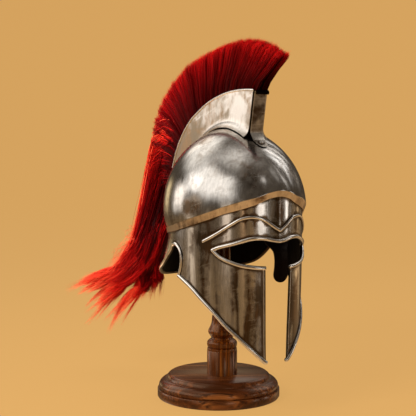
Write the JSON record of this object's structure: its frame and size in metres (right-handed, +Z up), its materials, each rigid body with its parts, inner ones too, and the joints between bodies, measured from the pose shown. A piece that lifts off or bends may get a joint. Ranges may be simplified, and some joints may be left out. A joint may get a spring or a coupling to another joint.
{
  "type": "corinthian helmet on a turned wooden stand",
  "caption": "Steel corinthian helmet with eye openings, nose guard, flared neck guard and a red horsehair crest, resting on a turned wooden stand with a round base.",
  "frame": {"origin": "centre of the round base's underside", "axes": "+Z up; the helmet looks along -Y and its own right side is -X"},
  "size_m": [0.2518, 0.4662, 0.5734],
  "materials": {
    "polished_steel": "polished by hand, with worked streaks",
    "blackened_steel": "blackened, dull",
    "red_horsehair": "dyed hair, combed",
    "dark_wood": "turned and varnished, glossy"
  },
  "bodies": {
    "root": {"brow_rod": "polished_steel", "cheek_rim_left": "polished_steel", "cheek_rim_right": "polished_steel", "crest_edge_left": "polished_steel", "crest_edge_right": "polished_steel", "crest_side_left": "polished_steel", "crest_side_right": "polished_steel", "crest_strap": "blackened_steel", "ear_rim_left": "polished_steel", "ear_rim_right": "polished_steel", "eye_rim": "polished_steel", "face_plate": "polished_steel", "nasal_guard": "blackened_steel", "neck_rim": "polished_steel", "plume_fan": "red_horsehair", "plume_tail": "red_horsehair", "skull": "polished_steel", "stand_base": "dark_wood", "stand_column": "dark_wood", "stand_head": "dark_wood", "strap_rivet": "polished_steel"}
  },
  "joints": []
}
